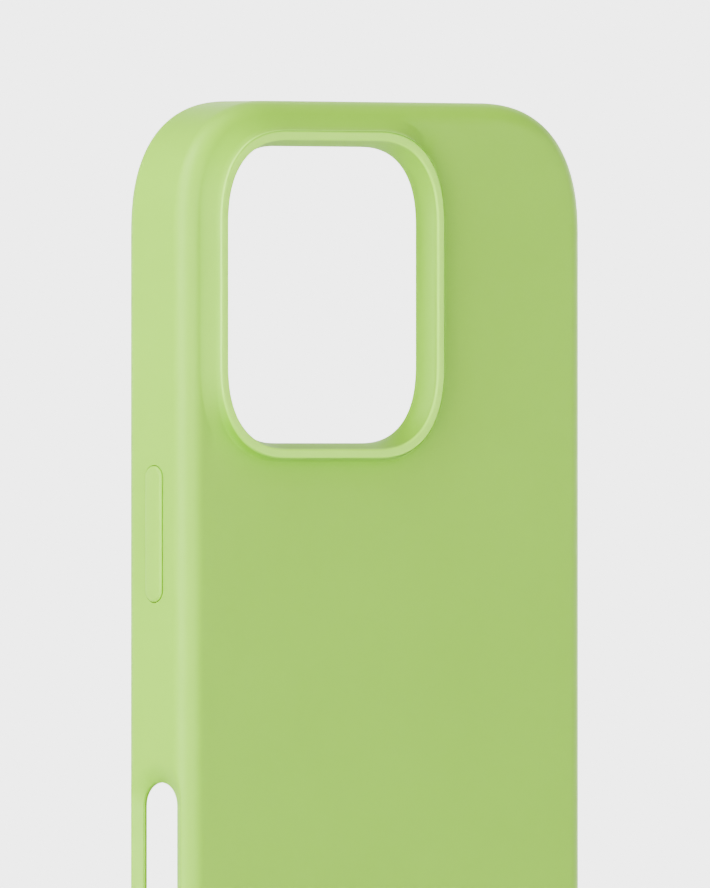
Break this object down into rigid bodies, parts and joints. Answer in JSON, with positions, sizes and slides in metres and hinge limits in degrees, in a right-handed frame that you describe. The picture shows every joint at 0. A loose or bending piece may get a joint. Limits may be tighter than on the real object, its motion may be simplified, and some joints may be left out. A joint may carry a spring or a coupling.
{
  "type": "phone case",
  "caption": "Soft-touch silicone phone case with a raised collar round the camera window, covered side keys, an open touch-key slot and a microfibre lining.",
  "frame": {"origin": "bottom centre of the bounding box, with the case standing on its bottom edge", "axes": "+Z towards the top edge, -Y out of the outer back, +Y out of the open front, +X to the right seen from the back"},
  "size_m": [0.0758, 0.0132, 0.1532],
  "materials": {
    "silicone": "soft-touch matt silicone, light green",
    "cap_silicone": "soft-touch matt silicone, light green",
    "polycarbonate": "fine spark-eroded texture, green",
    "microfibre": "short brushed nap, green",
    "pusher_plastic": "satin moulded plastic",
    "film": "clear-coated white film",
    "nickel": "nickel plated"
  },
  "bodies": {
    "case": {"silicone_shell": "silicone", "core_frame": "polycarbonate", "back_lining": "microfibre", "top_lining": "microfibre", "left_lining_upper": "microfibre", "left_lining_lower": "microfibre", "bottom_lining": "microfibre", "right_lining": "microfibre", "magnet_film": "film", "ring_magnet_01": "nickel", "ring_magnet_02": "nickel", "ring_magnet_03": "nickel", "ring_magnet_04": "nickel", "ring_magnet_05": "nickel", "ring_magnet_06": "nickel", "ring_magnet_07": "nickel", "ring_magnet_08": "nickel", "ring_magnet_09": "nickel", "ring_magnet_10": "nickel", "ring_magnet_11": "nickel", "ring_magnet_12": "nickel", "ring_magnet_13": "nickel", "ring_magnet_14": "nickel", "ring_magnet_15": "nickel", "ring_magnet_16": "nickel", "ring_magnet_17": "nickel", "ring_magnet_18": "nickel", "key_magnet": "nickel"},
    "side_button": {"side_button_cap": "cap_silicone", "side_button_pusher": "pusher_plastic"},
    "action_button": {"action_button_cap": "cap_silicone", "action_button_pusher": "pusher_plastic"},
    "volume_up": {"volume_up_cap": "cap_silicone", "volume_up_pusher": "pusher_plastic"},
    "volume_down": {"volume_down_cap": "cap_silicone", "volume_down_pusher": "pusher_plastic"}
  },
  "joints": [
    {"name": "side_button_press", "type": "slide", "parent": "case", "child": "side_button", "axis": [1, 0, 0], "range_m": [0, 0.00028], "stiffness_N_per_m": 600},
    {"name": "action_button_press", "type": "slide", "parent": "case", "child": "action_button", "axis": [-1, 0, 0], "range_m": [0, 0.00028], "stiffness_N_per_m": 600},
    {"name": "volume_up_press", "type": "slide", "parent": "case", "child": "volume_up", "axis": [-1, 0, 0], "range_m": [0, 0.00028], "stiffness_N_per_m": 600},
    {"name": "volume_down_press", "type": "slide", "parent": "case", "child": "volume_down", "axis": [-1, 0, 0], "range_m": [0, 0.00028], "stiffness_N_per_m": 600}
  ]
}
